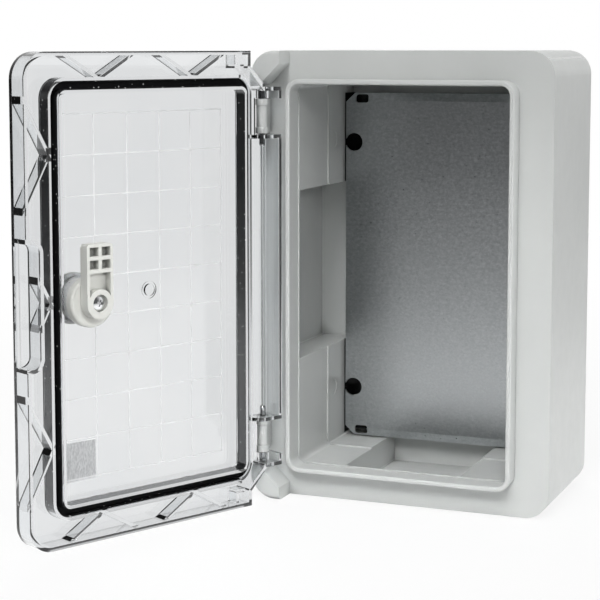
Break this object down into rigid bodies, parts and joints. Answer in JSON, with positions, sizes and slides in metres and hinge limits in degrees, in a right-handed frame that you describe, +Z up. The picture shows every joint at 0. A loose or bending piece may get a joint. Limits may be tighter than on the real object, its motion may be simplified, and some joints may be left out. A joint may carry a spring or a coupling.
{
  "type": "plastic electrical cabinet",
  "caption": "Wall-mounted moulded cabinet with a clear hinged door, foam seal, steel mounting plate and quarter-turn cam lock, shown with the door open.",
  "frame": {"origin": "centre of the back face, in the middle of the four wall fixing holes", "axes": "+X to the right seen from the front, +Y towards the wall, +Z up"},
  "size_m": [0.281, 0.3015, 0.3],
  "materials": {
    "grey_plastic": "fine moulded satin",
    "clear_plastic": "clear polished",
    "foam": "matt closed-cell foam",
    "zinc_sheet": "galvanised spangle",
    "lock_plastic": "satin moulded",
    "steel": "zinc plated"
  },
  "bodies": {
    "housing": {"housing": "grey_plastic", "upper_hinge_knuckle": "grey_plastic", "lower_hinge_knuckle": "grey_plastic", "upper_hinge_pin": "steel", "lower_hinge_pin": "steel", "mounting_plate": "zinc_sheet"},
    "door": {"door_panel": "clear_plastic", "door_seal": "foam", "lock_sleeve": "lock_plastic", "lock_seal": "foam", "lock_nut": "lock_plastic", "stop_disc": "lock_plastic"},
    "lock": {"lock_spindle": "lock_plastic", "spindle_ring": "foam", "key_insert": "steel", "lock_cam": "lock_plastic", "cam_screw": "steel"}
  },
  "joints": [
    {"name": "door_hinge", "type": "hinge", "parent": "housing", "child": "door", "pos_m": [-0.093, -0.123, 0], "axis": [0, 0, -1], "range_deg": [-116, 49]},
    {"name": "lock_turn", "type": "hinge", "parent": "door", "child": "lock", "pos_m": [-0.14505, -0.26395, 0], "axis": [0.8988, -0.4384, 0], "range_deg": [0, 90]}
  ]
}
